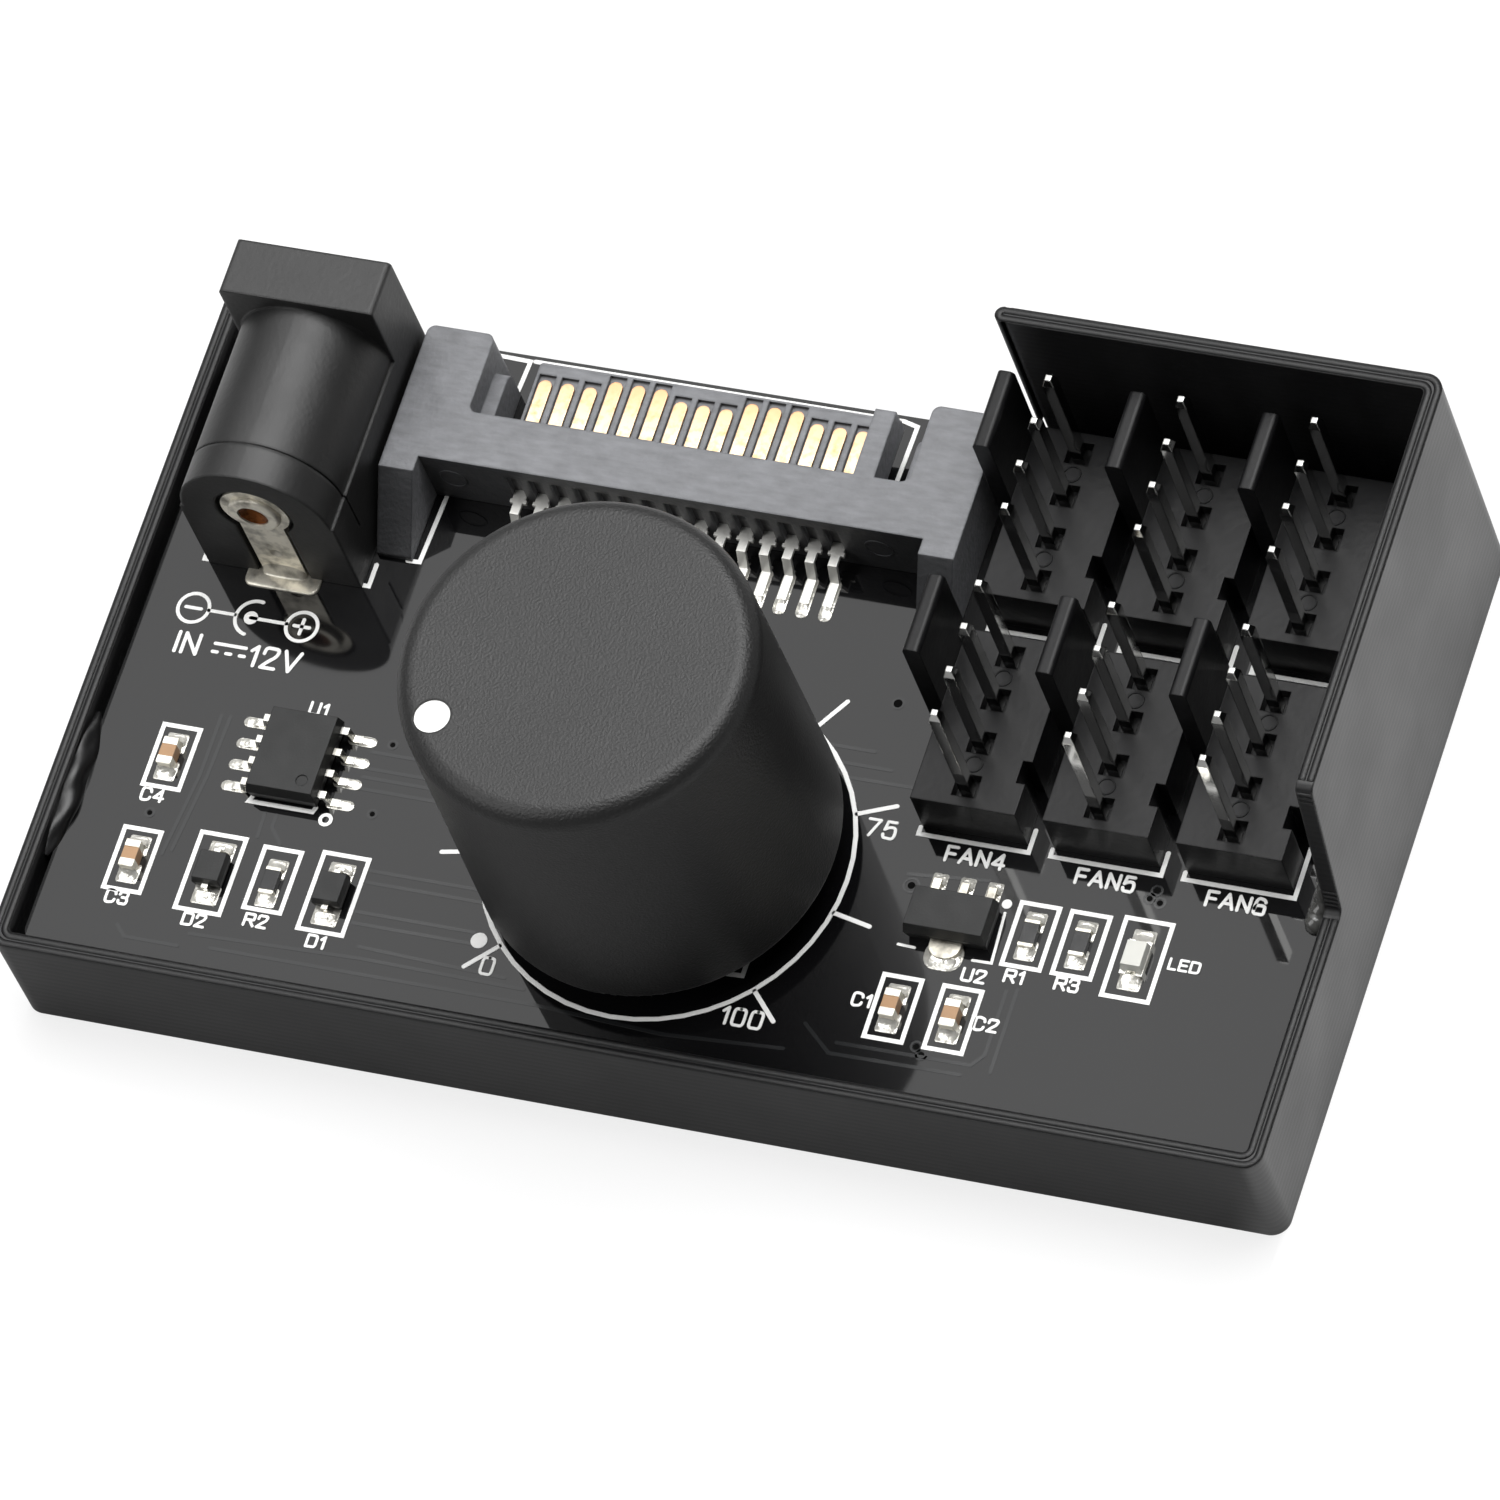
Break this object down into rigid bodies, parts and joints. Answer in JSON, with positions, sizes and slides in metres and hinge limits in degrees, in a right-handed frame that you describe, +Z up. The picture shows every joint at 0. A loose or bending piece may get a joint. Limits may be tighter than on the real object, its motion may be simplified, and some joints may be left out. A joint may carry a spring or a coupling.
{
  "type": "fan speed controller",
  "caption": "Fan speed controller board in a printed tray, with a large turning knob, fan headers, a barrel jack and a drive power inlet.",
  "frame": {"origin": "middle of the tray's underside", "axes": "+X to the right, +Y to the back with the power inlets, +Z up along the knob's axis"},
  "size_m": [0.0698, 0.0406, 0.0263],
  "materials": {
    "printed_black": "satin",
    "solder_mask": "gloss",
    "jack_black": "satin",
    "plug_grey": "matte",
    "header_black": "satin",
    "knob_black": "matte",
    "white_paint": "satin",
    "tinned": "satin",
    "gold_plate": "polished",
    "package_black": "matte",
    "ceramic_tan": "matte",
    "resistor_black": "gloss",
    "led_white": "matte",
    "led_clear": "gloss",
    "pot_brown": "matte",
    "carbon": "matte",
    "glue_clear": "gloss",
    "glue_dark": "gloss",
    "spring_metal": "satin"
  },
  "bodies": {
    "base": {"capacitor_bodies": "ceramic_tan", "capacitor_end_caps": "tinned", "case": "printed_black", "circuit_board": "solder_mask", "control_chip": "package_black", "control_chip_leads": "tinned", "dc_jack_center_pin": "tinned", "dc_jack_housing": "jack_black", "dc_jack_pin_terminal": "tinned", "dc_jack_sleeve_spring": "tinned", "dc_jack_switch_terminal": "tinned", "diode_bodies": "package_black", "diode_leads": "tinned", "fan_header_1": "header_black", "fan_header_2": "header_black", "fan_header_3": "header_black", "fan_header_4": "header_black", "fan_header_5": "header_black", "fan_header_6": "header_black", "fan_header_pins_1": "tinned", "fan_header_pins_2": "tinned", "fan_header_pins_3": "tinned", "fan_header_pins_4": "tinned", "fan_header_pins_5": "tinned", "fan_header_pins_6": "tinned", "glue_bead_left": "glue_dark", "glue_bead_right": "glue_clear", "led_base": "led_white", "led_lens": "led_clear", "led_terminals": "tinned", "pot_base": "pot_brown", "pot_cover": "tinned", "pot_terminals": "tinned", "pot_track": "carbon", "resistor_bodies": "resistor_black", "resistor_end_caps": "tinned", "sata_plug_contacts": "gold_plate", "sata_plug_housing": "plug_grey", "voltage_regulator": "package_black", "voltage_regulator_leads": "tinned"},
    "knob_set": {"knob": "knob_black", "knob_pointer_dot": "white_paint", "pot_shaft": "package_black", "pot_wiper": "spring_metal"}
  },
  "joints": [
    {"name": "knob_turn", "type": "hinge", "parent": "base", "child": "knob_set", "pos_m": [-0.0012, -0.00783, 0.0162], "axis": [0, 0, 1], "range_deg": [-261.3, 8.7]}
  ]
}
